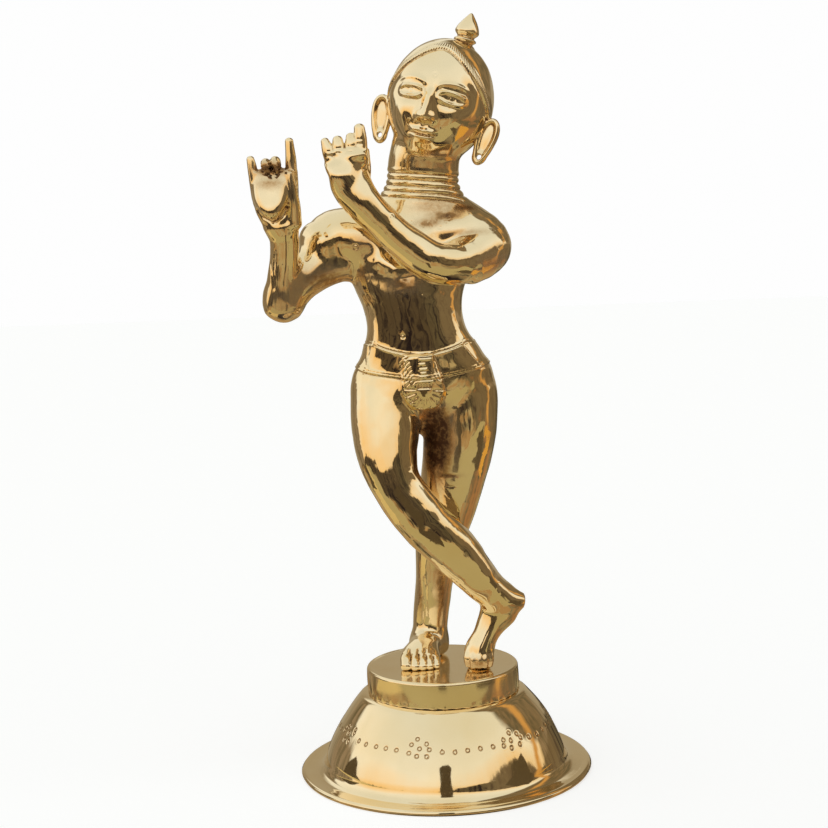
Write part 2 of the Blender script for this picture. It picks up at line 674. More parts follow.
def hair_relief(around, points):
    """A cap of hair a little prouder than the brow, with a raised band along its edge between two fine
    cuts."""
    _, above = along_hair(around, points[..., 2])
    cap = 0.22 * ramp(above / 0.35 + 0.5)
    band = ramp(above / 0.2 + 0.2) * ramp((HAIR_BAND - above) / 0.25 + 0.2)
    return cap + 0.1 * band - 0.18 * hill(above + 0.02, 0.12) - 0.08 * hill(above - HAIR_BAND, 0.12)


def skull():
    """The head's wall: the egg with the face pushed forward and the hair pushed outward, on a grid of polar
    rows and columns that lie closer over the face."""
    rows, face_columns, back_columns = 340, 260, 150
    spread = math.radians(62)
    around = np.concatenate(
        [
            np.linspace(-spread, spread, face_columns, endpoint=False),
            np.linspace(spread, 2 * np.pi - spread, back_columns, endpoint=False),
        ]
    )[None, :]
    polar = np.linspace(0, np.pi, rows + 2)[1:-1][:, None]
    unit = np.stack(
        [np.sin(around) * np.sin(polar), -np.cos(around) * np.sin(polar), np.cos(polar) + 0 * around], -1
    )
    points = egg(unit)
    front = ramp(np.cos(around) * np.sin(polar) * 2.4)
    relief = face_relief(points[..., 0], points[..., 2])
    hair = hair_relief(wrapped(around) + 0 * polar, points)
    outward = unit / np.array(HEAD_HALF)
    outward /= np.linalg.norm(outward, axis=-1, keepdims=True)
    points = points + outward * hair[..., None]
    points[..., 1] -= relief * front
    top, foot = egg(np.array([0, 0, 1.0])), egg(np.array([0, 0, -1.0]))
    top[2] += 0.22
    columns = around.size
    flat = np.vstack([points.reshape(-1, 3), top, foot])
    quads, tris = wound(rows, columns, poles=(rows * columns, rows * columns + 1))
    return head_pose(flat), quads[:, ::-1], tris[:, ::-1]


def ear_pose(points, side):
    """Leans an ear's points, sets them at its side of the head and gives them the head's pose."""
    lean = np.array(Matrix.Rotation(side * EAR_LEAN, 3, "Y"))
    place = np.array([side * EAR_PLACE[0], EAR_PLACE[1], EAR_PLACE[2]])
    return head_pose(points @ lean.T + place)


def ear(side):
    """A long flat handle: a thin plate in a rolled rim, thicker at the lobe."""
    turn = np.linspace(0, 2 * np.pi, 24, endpoint=False)
    rim = np.stack(
        [
            np.cos(turn) * (EAR_HALF[0] - 0.42) * (1 + 0.28 * np.sin(turn)),
            0 * turn - 0.1,
            np.sin(turn) * (EAR_HALF[1] - 0.42),
            0 * turn + 0.6,
            0 * turn + 0.42,
        ],
        1,
    )
    pieces = [
        limb(rim, across=FORWARD, closed=True, sides=24, steps=6),
        ball((0, 0.1, 0), (EAR_HALF[0] - 0.3, 0.36, EAR_HALF[1] - 0.3)),
        ball((0, 0, -EAR_HALF[1] * LOBE_SHARE), (1.1, 0.55, 1.15)),
    ]
    return [(ear_pose(points, side), quads, tris) for points, quads, tris in pieces]


def lobe_hole(side):
    """The hole through an ear lobe: a short round rod that the lobe is bored with."""
    radius = LOBE_HOLE / SHARE
    rod = [[0, y, -EAR_HALF[1] * LOBE_SHARE, radius, radius] for y in (-2.2, 0, 2.2)]
    points, quads, tris = limb(rod, sides=24)
    return ear_pose(points, side), quads, tris


def topknot():
    """Collar, ring and pointed bud, turned round one upright axis."""
    profile = flowing(KNOT_PROFILE, np.linspace(0, 1, 110))
    profile[:, 0] = np.maximum(profile[:, 0], 0)
    profile[[0, -1], 0] = 0
    points, quads, tris = lathe(profile)
    return head_pose(points + np.array(KNOT_SEAT)), quads, tris


def away(x, z, path):
    """Distance of each place to a path of straight pieces, as seen from the front."""
    best = np.full(len(x), 99.0)
    for (x0, z0), (x1, z1) in zip(path[:-1], path[1:]):
        dx, dz = x1 - x0, z1 - z0
        t = np.clip(((x - x0) * dx + (z - z0) * dz) / (dx * dx + dz * dz), 0, 1)
        best = np.minimum(best, np.hypot(x - x0 - t * dx, z - z0 - t * dz))
    return best


class Chisel:
    """Works a block's skin. Heights are millimetres proud of the surface, and places are in shares."""

    def __init__(self, block, band=2.0):
        self.values = block[1]
        found, where = places(block, band)
        order = np.argsort(where[:, 2], kind="stable")
        self.found = tuple(index[order] for index in found)
        self.where = where[order]
        self.proud = np.zeros(len(where), np.float32)

    def near(self, low, high):
        """Which places lie in a box, as indices, with their x, y and z."""
        start, stop = np.searchsorted(self.where[:, 2], [low[2], high[2]])
        part = self.where[start:stop]
        pick = start + np.nonzero(np.all((part > low) & (part < high), axis=1))[0]
        return (pick, *self.where[pick].T)

    def line(self, path, height, width=0.12, front=-30.0, back=0.5):
        """A bead, or a cut where the height is below 0, along a path of [x, z] between two depths. It fades
        out over the last 1.6 widths at each end."""
        path = np.array(path, float)
        (x0, z0), (x1, z1) = path.min(0) - 3 * width, path.max(0) + 3 * width
        pick, x, _, z = self.near((x0, front, z0), (x1, back, z1))
        ends = np.minimum(*(np.hypot(x - end[0], z - end[1]) for end in path[[0, -1]]))
        self.proud[pick] += height * hill(away(x, z, path), width) * ramp(ends / (1.6 * width))

    def punch(self, x, z, radius=0.27, front=-30.0, back=0.5, depth=0.28):
        """The mark of a ring punch."""
        reach = radius + 0.35
        pick, px, _, pz = self.near((x - reach, front, z - reach), (x + reach, back, z + reach))
        self.proud[pick] -= depth * hill(np.hypot(px - x, pz - z) - radius, 0.09)

    def finish(self):
        self.values[self.found] -= self.proud


# The upright axis that the belt and the hem run round
BODY_X, BODY_Y = -1.5, 0.4
HIP_SEAMS = [
    [[4.66, 50.56], [5.5, 49.6], [6.4, 48.4], [7.3, 47.4]],
    [[-9.7, 50.8], [-9.9, 49.2], [-9.8, 47.2]],
]


def belt_height(turn):
    """Height of the belt round the body: level behind the sides, and sagging in front with the turn
    squared."""
    return 49.1 + 1.8 * np.minimum(1, (turn / 0.96) ** 2) + 0.7 * ramp((np.abs(turn) - 1.4) / 1.4)


def hem_height(turn):
    """Height of the cloth's hem: lowest in the middle, rising to the hips, and dipping a little behind."""
    return 45.7 + 1.75 * np.minimum(1, (turn / 1.3) ** 2) - 0.6 * ramp((np.abs(turn) - 1.9) / 1.1)


def carve_cloth(chisel):
    """The short cloth: a step between belt and hem, thicker toward the belt, each edged with two beads, with
    a slanting seam at each hip in front. A bead at distance d has the height of a bell curve of d."""
    pick, x, y, z = chisel.near((-14, -12, 44), (11, 12, 53))
    turn = np.arctan2(x - BODY_X, BODY_Y - y)
    over, under = z - belt_height(turn), z - hem_height(turn)
    lean = 0.3 + 0.22 * ramp(under / 3.4)
    chisel.proud[pick] += lean * ramp(0.5 - over / 0.3) * ramp(0.5 + under / 0.3)
    chisel.proud[pick] += 0.42 * hill(over, 0.13) + 0.26 * hill(over - 0.42, 0.11)
    chisel.proud[pick] += 0.42 * hill(under, 0.13) + 0.22 * hill(under - 0.42, 0.1)
    chisel.proud[pick] -= 0.2 * hill(under + 0.28, 0.12)
    for seam in HIP_SEAMS:
        chisel.line(seam, 0.4, back=-0.5)


# The apron's two edges as [z, x], its rungs as [z, x, x], and the curls on its right as paths of [x, z]
APRON_LEFT = [[40.9, -2.4], [41.45, -3.2], [42.4, -4.1], [43.6, -4.8], [46.5, -4.75], [47.4, -4.4]]
APRON_RIGHT = [
    [40.9, -0.2], [41.6, 1.2], [42.5, 1.83], [43.5, 2.05],
    [44.8, 1.6], [46.0, 0.75], [47.2, 0.34], [49, 0.25],
]
APRON_RUNGS = [
    [48.6, -1.9, 0.1], [47.85, -1.95, -0.9], [47.1, -1.9, -0.6],
    [46.5, -1.7, -0.8], [45.95, -1.95, -0.7], [45.25, -1.9, 0.3],
]
APRON_CURLS = [
    [[-0.3, 48.3], [0.0, 47.6], [-0.2, 47.0], [0.3, 46.3], [0.5, 45.6], [1.3, 45.1]],
    [[0.6, 47.4], [0.9, 46.2], [1.5, 45.4], [1.2, 44.9]],
    [[1.3, 44.3], [1.7, 43.7], [1.4, 43.1], [0.9, 43.0]],
]
APRON_STROKES = 7
FAN_HEART = (-1.2, 44.0)
FAN_RAYS = 8


def carve_apron(chisel):
    """The apron's end: a plate with a beaded left edge and a scalloped foot. A ladder of rungs runs down its
    middle to a small sunk panel, combed strokes lie left of it and curls right of it, and rays fan out
    below."""
    left, right = np.array(APRON_LEFT), np.array(APRON_RIGHT)
    pick, x, y, z = chisel.near((-6, -12, 39.5), (3.2, -2.5, 49.4))
    from_left = x - np.interp(z, left[:, 0], left[:, 1])
    from_right = np.interp(z, right[:, 0], right[:, 1]) - x
    ray = np.arctan2(x - FAN_HEART[0], FAN_HEART[1] - z)
    foot = 40.9 + 0.25 * np.abs(np.sin(ray * 7)) + 0.07 * (x - FAN_HEART[0]) ** 2
    plate = ramp(0.5 + from_left / 0.3) * ramp(0.5 + from_right / 0.3) * ramp(0.5 + (z - foot) / 0.3)
    chisel.proud[pick] += plate * (0.4 + 0.25 * ramp((z - 41.5) / 4))
    beads = hill(from_left - 0.12, 0.12) + 0.8 * hill(from_left - 0.6, 0.11)
    chisel.proud[pick] += 0.4 * beads * ramp((47 - z) / 0.5) * ramp((z - 41.2) / 0.4)
    out = np.hypot(x - FAN_HEART[0], z - FAN_HEART[1])
    rays = hill(np.sin(ray * FAN_RAYS + 0.5) * out / FAN_RAYS, 0.13)
    fan = ramp((out - 1.1) / 0.3) * ramp((3.3 - out) / 0.4) * (z < 44.2)
    chisel.proud[pick] -= 0.45 * rays * fan * plate
    panel = ramp((x + 2.3) / 0.15) * ramp((-0.1 - x) / 0.15)
    panel *= ramp((z - 44.05) / 0.15) * ramp((45.0 - z) / 0.15)
    chisel.proud[pick] -= panel * (0.5 + 0.15 * np.cos(2 * np.pi * x / 0.42))
    for z0, x0, x1 in APRON_RUNGS:
        chisel.line([[x0, z0], [x1, z0 + 0.05]], 0.5, back=-2.5)
    for curl in APRON_CURLS:
        chisel.line(curl, 0.35, back=-2.5)
    for step in range(APRON_STROKES):
        z0 = 48.3 - 0.62 * step
        x0 = -4.9 + 0.16 * step
        chisel.line([[x0, z0 - 0.35], [x0 + 0.75, z0 + 0.4]], 0.4, 0.1, back=-2.5)
        chisel.line([[x0 + 0.85, z0 - 0.1], [x0 + 1.45, z0 + 0.5]], 0.36, 0.1, back=-2.5)


# Marks on the body, as paths or places of [x, z] unless a row says otherwise
NECK_FOLDS = (76.3, 75.35, 74.4, 73.5, 72.6)
KNEE = (2.35, 29.4)
SHIN_RIDGE = [[-3.9, 31.9], [-1.7, 29.2], [0.5, 26.3], [2.7, 23.9], [4.9, 21.2], [7.1, 18.8], [9.3, 16.3]]
ARM_FOLD = [
    [-0.7, 67.6], [0.45, 66.9], [1.5, 66.6], [3.2, 66.45],
    [5.0, 66.6], [6.8, 66.9], [8.7, 67.3], [11.6, 68.1],
]
CHEST_ROLL = [[-9.3, 64.9], [-7.3, 63.6], [-5.1, 62.2], [-3.2, 61.0]]
PALM_CREASE = [[-25.0, 72.2], [-24.0, 70.7], [-22.5, 69.9], [-21.0, 70.8], [-20.2, 72.3]]
CHEST_RINGS = [
    [-5.0, 70.1], [-2.2, 69.2], [-0.5, 68.7], [0.6, 68.5],
    [2.0, 68.3], [2.9, 69.2], [1.4, 69.4], [3.4, 69.6],
]
NAVEL = (-4.18, 52.18)
NIPPLE = (-10.8, 65.9)
# Cuts up the standing shin: [x at both ends, x between, top, bottom]
SHIN_CUTS = [[-2.5, -2.3, 13.4, 9.0], [-2.1, -2.2, 12.2, 6.4], [-2.8, -2.6, 10.0, 5.4]]
# Cuts between the standing toes: [x behind, x in front]
TOE_CUTS = [[-4.95, -5.05], [-3.7, -3.75], [-2.6, -2.55], [-1.6, -1.45]]
FOREARM_CUTS = [
    [[-22.6, 66.0], [-23.0, 62.6]],
    [[-23.0, 62.6], [-23.1, 59.9]],
    [[-23.4, 64.0], [-23.3, 61.0]],
]
# Nails of the raised right hand: [x, z, half width]
NAILS = [[-13.7, 79.0, 0.5], [-12.4, 79.4, 0.45], [-10.7, 79.6, 0.45], [-9.3, 80.6, 0.45]]
# Places that were never dressed: [x, y, z, reach, height, grain]
ROUGH_SPOTS = [[-2.9, -6.2, 60.3, 2.0, 0.12, 1.1], [1.9, -6.0, 58.2, 2.4, 0.22, 2.0]]


def carve_neck(chisel):
    """Level folds all round the neck, each a cut under a soft roll."""
    pick, x, y, z = chisel.near((-7, -6.5, 70.5), (7, 8, 79))
    round_neck = ramp((7.0 - np.hypot(x + 0.3, y - 0.7)) / 0.6)
    level = z + 0.105 * x - 0.05 * (y + 4.5)
    for fold in NECK_FOLDS:
        ring = 0.25 * hill(level - fold - 0.5, 0.3) - 0.5 * hill(level - fold, 0.15)
        chisel.proud[pick] += round_neck * ring


def carve_marks(chisel):
    """What the graver left: ring marks on the chest, the navel, the rolls of chest and arm, the shin's
    ridge, and cuts at the toes, the forearm, the nails and the palm."""
    for place in CHEST_RINGS:
        chisel.punch(*place, radius=0.22, back=-1.0)
    chisel.punch(*NAVEL, back=-1.0, depth=0.4)
    chisel.punch(*NIPPLE, radius=0.34, back=-1.0, depth=0.4)
    chisel.line(CHEST_ROLL, 1.7, 1.5, front=-8.8, back=-2.0)
    chisel.line(SHIN_RIDGE, 0.35, 0.3, back=-4.0)
    chisel.line(ARM_FOLD, -0.7, 1.2, front=-9.5, back=1.5)
    for x0, x1, high, low in SHIN_CUTS:
        chisel.line([[x0, high], [x1, (high + low) / 2], [x0, low]], -0.35, 0.13, back=5.0)
    for x0, x1 in TOE_CUTS:
        chisel.line([[x0, 2.9], [(x0 + x1) / 2, 2.0], [x1, 1.2]], -0.45, 0.2, back=0.5)
    for cut in FOREARM_CUTS:
        chisel.line(cut, -0.3, 0.12, back=-3.0)
    for x0, z0, reach in NAILS:
        chisel.line([[x0 - reach, z0 + 0.1], [x0 + reach, z0]], -0.35, 0.1, front=-14, back=-10.6)
        chisel.line([[x0 - reach, z0 + 0.75], [x0 + reach, z0 + 0.65]], -0.25, 0.1, front=-14, back=-10.6)
    chisel.line(PALM_CREASE, -0.8, 0.28, back=-9.0)


def dress(chisel):
    """What the file left: a rough hollow behind the curled fingers, the knee's oval, places that were never
    dressed, and slow unevenness from the hand polishing, less of it on the face. Last comes the brow's
    ring."""
    pick, x, y, z = chisel.near((-25.5, -14, 75), (-19.5, -9.6, 80))
    hollow = hill(x + 22.4, 1.5) * hill(z - 77.4, 0.75)
    chisel.proud[pick] -= hollow * (1.5 + 0.9 * uneven(chisel.where[pick], 0.7, 31))
    pick, x, y, z = chisel.near((-1, -6, 27), (6, 1, 32))
    chisel.proud[pick] -= 0.22 * hill(np.hypot((x - KNEE[0]) / 1.7, (z - KNEE[1]) / 0.95) - 1, 0.2)
    for x0, y0, z0, reach, height, grain in ROUGH_SPOTS:
        pick, x, y, z = chisel.near((x0 - 5, y0 - 4, z0 - 5), (x0 + 5, y0 + 3, z0 + 5))
        near = hill(np.hypot(x - x0, z - z0), reach)
        chisel.proud[pick] += near * height * uneven(chisel.where[pick], grain, int(abs(x0) * 10))
    face = head_frame(chisel.where)
    calm = ramp((5.5 - np.hypot(face[:, 0], face[:, 2] + 1)) / 2)
    calm *= (face[:, 1] < 0) & (np.abs(face[:, 2]) < 9)
    wobble = 0.10 * uneven(chisel.where, 4.2, 11) + 0.022 * uneven(chisel.where, 1.5, 12)
    chisel.proud += wobble * (1 - 0.8 * calm)
    brow = (face[:, 1] < 0) & (np.abs(face[:, 0]) < 1) & (np.abs(face[:, 2] - 3.1) < 1)
    chisel.proud[brow] -= 0.25 * hill(np.hypot(face[brow, 0], face[brow, 2] - 3.1) - 0.3, 0.09)


def carve_figure():
    """The whole casting as one block of distances, limb welded to limb."""
    head = weld(
        [(measure(skull()), 0), (measure(topknot()), 0.6)]
        + [(measure(piece), 0.8) for side in (-1, 1) for piece in ear(side)]
    )
    for side in (-1, 1):
        bore(head, measure(lobe_hole(side)))
    left_hand = weld(
        [(measure(limb(HAND_LEFT)), 0)] + [(measure(digit(bends)), 0.9) for bends in FINGERS_LEFT]
    )
    left_arm = weld(
        [
            (measure(limb(LOWER_ARM_LEFT, across=UPWARD)), 0),
            (measure(ball(*ELBOW_LEFT)), 3),
            (measure(limb(FOREARM_LEFT)), 5),
            (measure(limb(ARM_WEB, across=UPWARD)), 4),
            (measure(limb(UPPER_ARM_LEFT, across=UPWARD, rounding=0.85)), 3),
            (left_hand, 3),
            (measure(limb(PALM_PAD, rounding=0.5, square=(2.4, 2.8))), 0.8),
        ]
    )
    right_arm = weld(
        [
            (measure(limb(UPPER_ARM_RIGHT, across=UPWARD)), 0),
            (measure(limb(FOREARM_RIGHT, across=UPWARD)), 4),
        ]
        + [(measure(digit(bends)), 0.9) for bends in FINGERS_RIGHT]
    )
    standing_foot = weld(
        [(measure(limb(STANDING_FOOT, square=(2, 2.6))), 0)]
        + [(measure(digit(bends)), 0.45) for bends in STANDING_TOES]
    )
    crossing_foot = weld(
        [(measure(limb(CROSSING_HEEL, across=UPWARD)), 0), (measure(limb(CROSSING_FOOT, rounding=0.8)), 3)]
        + [(measure(digit(bends)), 1.0) for bends in CROSSING_TOES]
    )
    casting = weld(
        [
            (measure(limb(TORSO, level=True, square=(2.8, 2.0))), 0),
            *[(measure(ball(*shape)), 6) for shape in SEAT],
            *[(measure(ball(*shape)), 5) for shape in CHEST_FILL],
            (measure(limb(SHOULDER_RIGHT, across=UPWARD)), 6),
            (measure(limb(STANDING_LEG, square=(2.1, 2.4))), 4),
            (measure(limb(CROSSING_LEG, square=(2.5, 2.9))), lambda z: 0.8 + 3.4 * ramp((z - 36) / 6)),
            (standing_foot, 6),
            (crossing_foot, 4),
            (measure(limb(NECK, level=True)), 5),
            (head, 2.5),
            (left_arm, 6),
            (right_arm, 2.5),
            (measure(limb(APRON)), 1.2),
        ]
    )
    low, values = casting
    height = (low[2] + np.arange(values.shape[2])) * PITCH
    np.maximum(values, (SOLE_CUT - height).astype(np.float32), out=values)
    chisel = Chisel(casting)
    carve_cloth(chisel)
    carve_apron(chisel)
    carve_neck(chisel)
    carve_marks(chisel)
    dress(chisel)
    chisel.finish()
    return casting


def to_metres(points, base=SOLE_Z):
    """From millimetres about the plinth's axis and up from a base height in metres, to the row's frame."""
    return points * MM + np.array([AXIS_X, 0, base])


def vectors(mesh, name):
    """A value of three numbers from each vertex of a mesh, as rows."""
    values = np.empty(len(mesh.vertices) * 3, np.float32)
    mesh.vertices.foreach_get(name, values)
    return values.reshape(-1, 3)


def in_shares(place):
    """From metres in the row's frame to the stations' units."""
    return (place - np.array([AXIS_X, 0, SOLE_Z])) / MM / SHARE


def mesh_of(name, points, quads, tris):
    """A mesh from arrays of points, quads and triangles."""
    mesh = bpy.data.meshes.new(name)
    mesh.vertices.add(len(points))
    mesh.vertices.foreach_set("co", np.ascontiguousarray(points, np.float32).ravel())
    corners = np.concatenate([quads.ravel(), tris.ravel()]).astype(np.int32)
    mesh.loops.add(len(corners))
    mesh.loops.foreach_set("vertex_index", corners)
    mesh.polygons.add(len(quads) + len(tris))
    starts = np.concatenate([np.arange(len(quads)) * 4, len(quads) * 4 + np.arange(len(tris)) * 3])
    mesh.polygons.foreach_set("loop_start", starts.astype(np.int32))
    mesh.update(calc_edges=True)
    mesh.polygons.foreach_set("use_smooth", np.ones(len(mesh.polygons), bool))
    mesh.validate()
    return mesh


def new_piece(name, mesh, material, node):
    """Puts a finished piece in the scene in place of its CAD node."""
    piece = bpy.data.objects.new(name, mesh)
    bpy.context.scene.collection.objects.link(piece)
    mesh.materials.append(material)
    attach(piece, "root")
    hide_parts(node)


def note(mesh, name, values):
    """Keeps one number a point on the mesh, under this name."""
    mesh.attributes.new(name, "FLOAT", "POINT").data.foreach_set("value", values.astype(np.float32))


# Places that were never buffed: [x, z, half width, half height, front, back, amount]
STAINS = [
    [0.3, 36.0, 1.9, 5.0, -5.4, 3.0, 2.2],
    [-22.4, 77.6, 2.6, 0.9, -14.0, -9.0, 0.9],
    [-3.6, 60.0, 2.6, 1.2, -8.0, -3.0, 0.55],
    [0.2, 69.0, 1.8, 0.6, -7.0, 0.5, 0.6],
    [3.0, 70.0, 2.0, 0.6, -6.0, 0.5, 0.75],
    [6.1, 71.1, 1.7, 0.5, -5.0, 0.5, 0.7],
    [1.6, 71.6, 3.8, 1.2, -6.5, 0.5, 0.4],
    [-22.6, 75.4, 2.2, 0.7, -14.0, -9.0, 0.45],
    [-15.6, 61.2, 4.6, 1.8, -9.0, 3.0, 0.55],
    [-21.6, 57.6, 2.2, 2.2, -9.0, 0.0, 0.3],
    [-9.6, 66.0, 1.6, 1.8, -8.0, 1.0, 0.3],
    [9.6, 62.8, 3.6, 1.3, -9.0, 3.0, 0.4],
    [0.1, 11.5, 0.8, 6.0, -3.0, 8.0, 0.7],
    [1.8, 78.4, 4.0, 1.3, -6.0, 2.0, 0.35],
    [5.6, 67.4, 3.6, 0.5, -8.0, 1.0, 0.35],
    [5.7, 1.0, 2.6, 0.8, -9.0, 0.0, 0.5],
    [-3.2, 10.0, 0.5, 3.6, 0.0, 5.0, 0.5],
    [2.3, 30.2, 1.6, 0.3, -6.0, 0.0, 0.5],
]


def note_hollows(mesh):
    """Marks where dirt stays: for each point the mean of its neighbours' height over its own tangent plane,
    divided by their distance, smoothed twice over the neighbours. Hollows are above 0 and ridges below. To
    it come the stains, each a bell curve across and up."""
    count = len(mesh.vertices)
    place, normal = vectors(mesh, "co"), vectors(mesh, "normal")
    edges = np.empty(len(mesh.edges) * 2, np.int32)
    mesh.edges.foreach_get("vertices", edges)
    a, b = edges.reshape(-1, 2).T
    step = place[b] - place[a]
    reach = np.sqrt((step * step).sum(1)) + 1e-9
    rise = np.bincount(a, (step * normal[a]).sum(1) / reach, count)
    rise -= np.bincount(b, (step * normal[b]).sum(1) / reach, count)
    links = np.maximum(np.bincount(a, minlength=count) + np.bincount(b, minlength=count), 1)
    hollow = rise / links
    for _ in range(2):
        beside = (np.bincount(a, hollow[b], count) + np.bincount(b, hollow[a], count)) / links
        hollow = 0.4 * hollow + 0.6 * beside
    place = in_shares(place)
    face = head_frame(place)
    calm = ramp((6.5 - np.hypot(face[:, 0], face[:, 2])) / 1.5) * (face[:, 1] < 0)
    dirt = ramp((hollow - 0.035) / 0.14) * (1 - 0.6 * calm)
    x, y, z = place.T
    for x0, z0, wide, high, front, back, amount in STAINS:
        between = ramp((y - front) / 0.8) * ramp((back - y) / 0.8)
        dirt += amount * hill(x - x0, wide) * hill(z - z0, high) * between
    note(mesh, "grime", np.minimum(dirt, 1))


def note_strokes(mesh):
    """Marks the combed band along the hair's edge: the turn of the strokes' wave, a full turn to each
    stroke's width along the edge, and how much of the band is at each point."""
    x, y, z = head_frame(in_shares(vectors(mesh, "co"))).T
    run, above = along_hair(np.arctan2(x, -y), z)
    band = ramp(above / 0.2) * ramp((HAIR_BAND - above) / 0.2) * (np.abs(x) < 7.9) * (y < 1.5) * (z > -2)
    note(mesh, "stroke_turn", 2 * np.pi * run / STROKE_WIDTH)
    note(mesh, "stroke_band", band)


def thinned(mesh, triangles):
    """The mesh with its flatter faces merged until it has that many triangles."""
    count = len(mesh.loops) - 2 * len(mesh.polygons)
    if count <= triangles:
        return mesh
    rough = bpy.data.objects.new("rough", mesh)
    bpy.context.scene.collection.objects.link(rough)
    modifier = rough.modifiers.new("thin", "DECIMATE")
    modifier.ratio = triangles / count
    seen = rough.evaluated_get(bpy.context.evaluated_depsgraph_get())
    result = bpy.data.meshes.new_from_object(seen)
    bpy.data.objects.remove(rough)
    result.polygons.foreach_set("use_smooth", np.ones(len(result.polygons), bool))
    return result


class Bench:
    """Adds nodes to a tree in one line each. A value that is a socket is linked, any other is set."""

    def __init__(self, tree):
        self.tree = tree

    def add(self, kind, inputs=(), out=0, **settings):
        node = self.tree.nodes.new(kind)
        for key, value in settings.items():
            setattr(node, key, value)
        for name, value in dict(inputs).items():
            if isinstance(value, bpy.types.NodeSocket):
                self.tree.links.new(value, node.inputs[name])
            else:
                node.inputs[name].default_value = value
        return node.outputs[out]

    def axes(self, where):
        split = self.tree.nodes.new("ShaderNodeSeparateXYZ")
        self.tree.links.new(where, split.inputs[0])
        return split.outputs

    def math(self, operation, *values, clamp=False):
        return self.add("ShaderNodeMath", enumerate(values), operation=operation, use_clamp=clamp)

    def along(self, where, way):
        return self.add("ShaderNodeVectorMath", {0: where, 1: way}, out=1, operation="DOT_PRODUCT")

    def noise(self, where, scale, detail=2.0, rough=0.5):
        inputs = {"Vector": where, "Scale": scale, "Detail": detail, "Roughness": rough}
        return self.add("ShaderNodeTexNoise", inputs)

    def noted(self, name):
        return self.add("ShaderNodeAttribute", out=2, attribute_name=name)

    def stretched(self, where, scale):
        return self.add("ShaderNodeMapping", {"Vector": where, "Scale": scale})

    def range(self, value, low, high, to_low=0.0, to_high=1.0):
        inputs = {"Value": value, "From Min": low, "From Max": high, "To Min": to_low, "To Max": to_high}
        return self.add("ShaderNodeMapRange", inputs, clamp=True)

    def blend(self, factor, first, second):
        node = self.tree.nodes.new("ShaderNodeMix")
        node.data_type = "RGBA"
        for index, value in ((0, factor), (6, first), (7, second)):
            if isinstance(value, bpy.types.NodeSocket):
                self.tree.links.new(value, node.inputs[index])
            else:
                node.inputs[index].default_value = value
        return node.outputs[2]


BRASS_BRIGHT = (0.95, 0.81, 0.57, 1)
BRASS_DEEP = (0.91, 0.735, 0.455, 1)
BROWNED = (0.50, 0.30, 0.13, 1)
TARNISH = (0.07, 0.028, 0.012, 1)


def polished_brass(name, dirty=False, combed=False, dull=0.0):
    """Hand-polished brass: its yellow drifts in soft clouds, its gloss is wiped in streaks, and hair
    scratches run with the polishing. dull adds to the roughness. Where combed, the hair's strokes stand up
    as a sine wave. Where dirty, the grime attribute says what the buff never reached, which is brown and
    then black."""
    material = bpy.data.materials.new(name)
    material.use_nodes = True
    tree = material.node_tree
    bench = Bench(tree)
    shader = tree.nodes["Principled BSDF"]
    shader.inputs["Metallic"].default_value = 1
    where = bench.add("ShaderNodeTexCoord", out=3)
    clouds = bench.noise(where, 28, 3)
    smears = bench.noise(bench.stretched(where, (1, 1, 0.35)), 160, 4, 0.6)
    specks = bench.noise(where, 900, 2, 0.7)
    colour = bench.blend(bench.range(clouds, 0.35, 0.7), BRASS_BRIGHT, BRASS_DEEP)
    wiped = bench.range(smears, 0.35, 0.75, 0.035 + dull, 0.10 + dull)
    gloss = bench.math("ADD", wiped, bench.range(specks, 0.6, 0.8, 0, 0.12))
    scratch = bench.noise(bench.stretched(where, (1, 1, 0.08)), 2600, 2, 0.6)
    dents = bench.noise(where, 95, 2, 0.45)
    height = bench.math("ADD", bench.math("MULTIPLY", scratch, 0.012), bench.math("MULTIPLY", dents, 0.45))
    if combed:
        stroke = bench.math("SINE", bench.noted("stroke_turn"))
        combing = bench.math("MULTIPLY", stroke, bench.noted("stroke_band"))
        height = bench.math("ADD", height, bench.math("MULTIPLY", combing, 0.8))
    bump = bench.add("ShaderNodeBump", {"Strength": 0.35, "Distance": 0.0004, "Height": height})
    if dirty:
        patchy = bench.range(bench.noise(where, 420, 4, 0.65), 0.3, 0.62, 0.65, 1.15)
        dirt = bench.math("MULTIPLY", bench.noted("grime"), patchy, clamp=True)
        colour = bench.blend(bench.range(dirt, 0, 0.5), colour, BROWNED)
        colour = bench.blend(bench.range(dirt, 0.4, 1), colour, TARNISH)
        gloss = bench.math("ADD", gloss, bench.math("MULTIPLY", dirt, 0.32))
        metal = bench.math("SUBTRACT", 1.0, bench.math("MULTIPLY", dirt, 0.35))
        tree.links.new(metal, shader.inputs["Metallic"])
    tree.links.new(colour, shader.inputs["Base Color"])
    tree.links.new(gloss, shader.inputs["Roughness"])
    tree.links.new(bump, shader.inputs["Normal"])
    return material


# The studio: a bright cloth sky with a warm glow low on it, a ragged dark skyline that climbs to the right,
# walls behind, a brown parasol behind the right shoulder, an amber drape at the right, and a tan ground
SKY = (1.0, 0.97, 0.87, 1)
SKY_HIGH = (0.80, 0.81, 0.73, 1)
GLOW = (1.0, 0.68, 0.30, 1)
DARK = (0.095, 0.07, 0.042, 1)
DARK_DEEP = (0.02, 0.014, 0.015, 1)
DARK_RIGHT = (0.14, 0.115, 0.065, 1)
TAN = (0.48, 0.395, 0.215, 1)
TAN_WARM = (0.42, 0.27, 0.12, 1)
RUST = (0.36, 0.19, 0.08, 1)
WALL = (0.31, 0.235, 0.15, 1)
PARASOL = (0.25, 0.18, 0.10, 1)
DRAPE = (0.66, 0.36, 0.11, 1)
DRAPE_WAY = (0.098, -0.896, 0.432)
FAR_WALL = (0.40, 0.34, 0.235, 1)
PARASOL_WAY = (0.561, 0.517, 0.645)
BACKDROP = (0.99, 0.99, 0.99, 1)
MAT = ((-0.6, -0.36), (0.6, -0.105))
